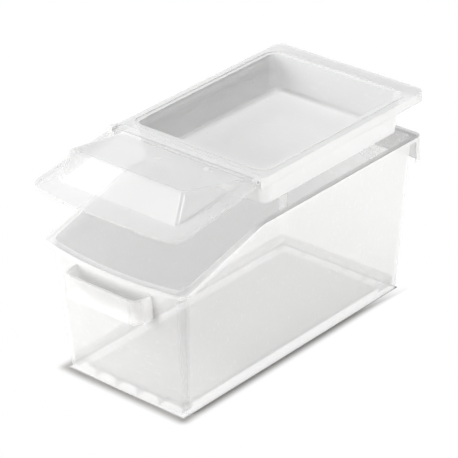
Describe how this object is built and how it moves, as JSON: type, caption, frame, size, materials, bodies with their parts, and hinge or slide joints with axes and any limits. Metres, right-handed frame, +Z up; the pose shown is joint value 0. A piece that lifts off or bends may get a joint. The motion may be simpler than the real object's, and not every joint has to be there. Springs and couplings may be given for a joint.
{
  "type": "bulk food bin",
  "caption": "Tapered translucent scoop bin with a bowed front, pull handle, back grip, and a lift-off lid with a recessed deck and a hinged clear dome flap.",
  "frame": {"origin": "on the floor, under the middle of the object's box", "axes": "+Z up, -Y towards the bin's front with the pull handle, +X to the right as seen from the front"},
  "size_m": [0.226, 0.435, 0.2708],
  "materials": {
    "milky_plastic": "milky translucent polypropylene, smooth moulded",
    "lid_plastic": "faintly milky, nearly clear polypropylene, glossy",
    "clear_plastic": "clear moulded plastic, glossy"
  },
  "bodies": {
    "bin": {"bin_body": "milky_plastic"},
    "lid": {"lid_deck": "lid_plastic"},
    "flap": {"front_flap": "clear_plastic"}
  },
  "joints": [
    {"name": "lid_lift", "type": "slide", "parent": "bin", "child": "lid", "axis": [0, 0, 1], "range_m": [-0.055, 0.15]},
    {"name": "flap_hinge", "type": "hinge", "parent": "lid", "child": "flap", "pos_m": [0, -0.073, 0.2537], "axis": [-1, 0, 0], "range_deg": [-7.8, 160]}
  ]
}
